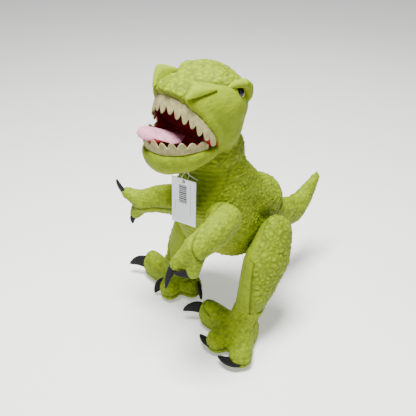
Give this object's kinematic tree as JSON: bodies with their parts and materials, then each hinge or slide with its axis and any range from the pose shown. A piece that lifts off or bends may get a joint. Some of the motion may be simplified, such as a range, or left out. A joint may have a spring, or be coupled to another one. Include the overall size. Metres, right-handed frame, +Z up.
{
  "type": "stuffed dinosaur",
  "caption": "Standing lime-green plush tyrannosaur with an open felt-toothed mouth, stuffed limbs and tail that give at their seams, felt claws, and a hang tag.",
  "frame": {"origin": "on the floor, under the middle of the bounding box", "axes": "+Z up, the dinosaur faces -Y, its left side is +X"},
  "size_m": [0.3113, 0.3926, 0.4304],
  "materials": {
    "lime_plush": "short embossed lime-green plush",
    "mouth_felt": "dark red felt",
    "tooth_felt": "ivory felt",
    "tongue_felt": "pale pink felt",
    "claw_felt": "black felt",
    "fibrefill": "white polyester fibre stuffing",
    "eye_plastic": "glossy black",
    "clear_plastic": "white plastic",
    "tag_card": "white coated card"
  },
  "bodies": {
    "torso": {"belly_panel": "lime_plush", "back_panel_left": "lime_plush", "back_panel_right": "lime_plush", "torso_stuffing": "fibrefill", "tag_fastener": "clear_plastic"},
    "neck": {"neck_panel": "lime_plush", "neck_stuffing": "fibrefill"},
    "head": {"crown_panel": "lime_plush", "left_cheek_panel": "lime_plush", "right_cheek_panel": "lime_plush", "head_stuffing": "fibrefill", "palate_lining": "mouth_felt", "upper_teeth": "tooth_felt", "left_eye": "eye_plastic", "right_eye": "eye_plastic", "left_eye_washer": "clear_plastic", "right_eye_washer": "clear_plastic", "left_brow": "lime_plush", "right_brow": "lime_plush", "left_nostril_flap": "lime_plush", "right_nostril_flap": "lime_plush"},
    "jaw": {"chin_panel": "lime_plush", "jaw_stuffing": "fibrefill", "jaw_lining": "mouth_felt", "lower_teeth": "tooth_felt"},
    "tongue": {"tongue": "tongue_felt"},
    "tail": {"tail_left_panel": "lime_plush", "tail_right_panel": "lime_plush", "tail_stuffing": "fibrefill"},
    "hang_tag": {"hang_tag": "tag_card"},
    "left_arm": {"left_arm_outer_panel": "lime_plush", "left_arm_inner_panel": "lime_plush", "left_arm_stuffing": "fibrefill", "left_hand_claw_1": "claw_felt", "left_hand_claw_2": "claw_felt"},
    "left_leg": {"left_leg_outer_panel": "lime_plush", "left_leg_inner_panel": "lime_plush", "left_leg_stuffing": "fibrefill"},
    "left_foot": {"left_foot_top_panel": "lime_plush", "left_foot_sole_panel": "lime_plush", "left_foot_stuffing": "fibrefill", "left_foot_claw_1": "claw_felt", "left_foot_claw_2": "claw_felt", "left_foot_claw_3": "claw_felt"},
    "right_arm": {"right_arm_outer_panel": "lime_plush", "right_arm_inner_panel": "lime_plush", "right_arm_stuffing": "fibrefill", "right_hand_claw_1": "claw_felt", "right_hand_claw_2": "claw_felt"},
    "right_leg": {"right_leg_outer_panel": "lime_plush", "right_leg_inner_panel": "lime_plush", "right_leg_stuffing": "fibrefill"},
    "right_foot": {"right_foot_top_panel": "lime_plush", "right_foot_sole_panel": "lime_plush", "right_foot_stuffing": "fibrefill", "right_foot_claw_1": "claw_felt", "right_foot_claw_2": "claw_felt", "right_foot_claw_3": "claw_felt"}
  },
  "joints": [
    {"name": "head_turn", "type": "hinge", "parent": "torso", "child": "neck", "pos_m": [0.0403, -0.0629, 0.306], "axis": [0, 0, 1], "range_deg": [-20, 20], "stiffness_Nm_per_rad": 0.6},
    {"name": "head_nod", "type": "hinge", "parent": "neck", "child": "head", "pos_m": [0.0403, -0.0629, 0.306], "axis": [1, 0, 0], "range_deg": [-12, 3], "stiffness_Nm_per_rad": 1.5},
    {"name": "jaw_close", "type": "hinge", "parent": "head", "child": "jaw", "pos_m": [0.0403, -0.1089, 0.343], "axis": [1, 0, 0], "range_deg": [-14, 3], "stiffness_Nm_per_rad": 0.6},
    {"name": "tongue_lift", "type": "hinge", "parent": "jaw", "child": "tongue", "pos_m": [0.0403, -0.1269, 0.349], "axis": [1, 0, 0], "range_deg": [-10, 0], "stiffness_Nm_per_rad": 0.05},
    {"name": "left_arm_swing", "type": "hinge", "parent": "torso", "child": "left_arm", "pos_m": [0.1023, -0.1009, 0.234], "axis": [1, 0, 0], "range_deg": [-20, 20], "stiffness_Nm_per_rad": 0.4},
    {"name": "right_arm_swing", "type": "hinge", "parent": "torso", "child": "right_arm", "pos_m": [-0.0137, -0.0929, 0.216], "axis": [0.4591, -0.8884, 0], "range_deg": [-20, 20], "stiffness_Nm_per_rad": 0.4},
    {"name": "left_leg_swing", "type": "hinge", "parent": "torso", "child": "left_leg", "pos_m": [0.1103, -0.0049, 0.164], "axis": [1, 0, 0], "range_deg": [-15, 15], "stiffness_Nm_per_rad": 20},
    {"name": "right_leg_swing", "type": "hinge", "parent": "torso", "child": "right_leg", "pos_m": [-0.0277, -0.0089, 0.164], "axis": [1, 0, 0], "range_deg": [-15, 15], "stiffness_Nm_per_rad": 20},
    {"name": "left_foot_tilt", "type": "hinge", "parent": "left_leg", "child": "left_foot", "pos_m": [0.1073, -0.0589, 0.052], "axis": [1, 0, 0], "range_deg": [-12, 12], "stiffness_Nm_per_rad": 16},
    {"name": "right_foot_tilt", "type": "hinge", "parent": "right_leg", "child": "right_foot", "pos_m": [-0.0677, -0.0389, 0.052], "axis": [1, 0, 0], "range_deg": [-12, 12], "stiffness_Nm_per_rad": 16},
    {"name": "tail_wag", "type": "hinge", "parent": "torso", "child": "tail", "pos_m": [0.0403, 0.0511, 0.158], "axis": [0, 0, 1], "range_deg": [-18, 18], "stiffness_Nm_per_rad": 0.5},
    {"name": "tag_swing", "type": "hinge", "parent": "torso", "child": "hang_tag", "pos_m": [0.0523, -0.1299, 0.285], "axis": [1, 0, 0], "range_deg": [-60, 0]}
  ]
}
